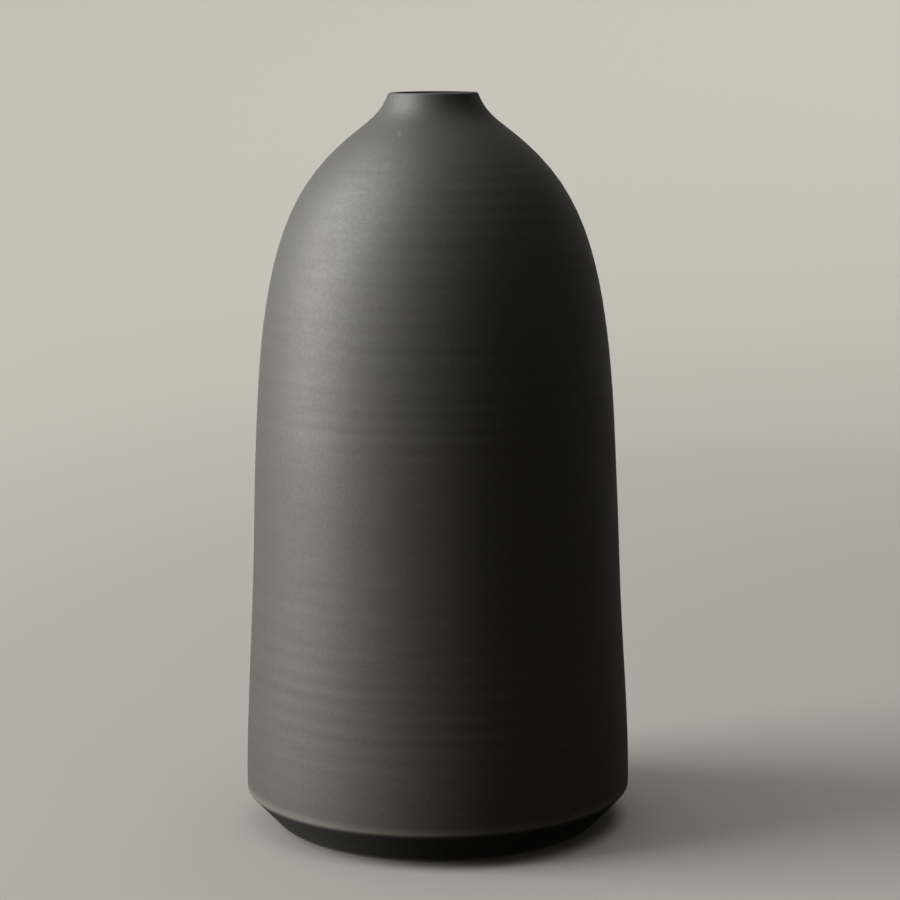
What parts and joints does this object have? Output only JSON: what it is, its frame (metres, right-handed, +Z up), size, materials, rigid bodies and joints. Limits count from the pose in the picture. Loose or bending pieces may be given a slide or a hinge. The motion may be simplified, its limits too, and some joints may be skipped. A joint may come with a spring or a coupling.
{
  "type": "stoneware vase",
  "caption": "Tall round hollow vase with a slightly tapering wall, a domed shoulder, a small collared mouth and a bevelled foot, in satin-matte dark stoneware.",
  "frame": {"origin": "centre of the foot ring, on the surface the vase stands on", "axes": "+Z up along the vase's axis; the vase is round, so +X and +Y are free choices"},
  "size_m": [0.176, 0.176, 0.332],
  "materials": {
    "stoneware_clay": "matte",
    "luting_slip": "matte",
    "satin_glaze": "satin",
    "liner_glaze": "gloss"
  },
  "bodies": {
    "root": {"foot_section": "stoneware_clay", "wall_section": "stoneware_clay", "shoulder_section": "stoneware_clay", "neck_collar": "stoneware_clay", "lower_slip_joint": "luting_slip", "upper_slip_joint": "luting_slip", "collar_slip_joint": "luting_slip", "outer_glaze": "satin_glaze", "liner_glaze": "liner_glaze"}
  },
  "joints": []
}
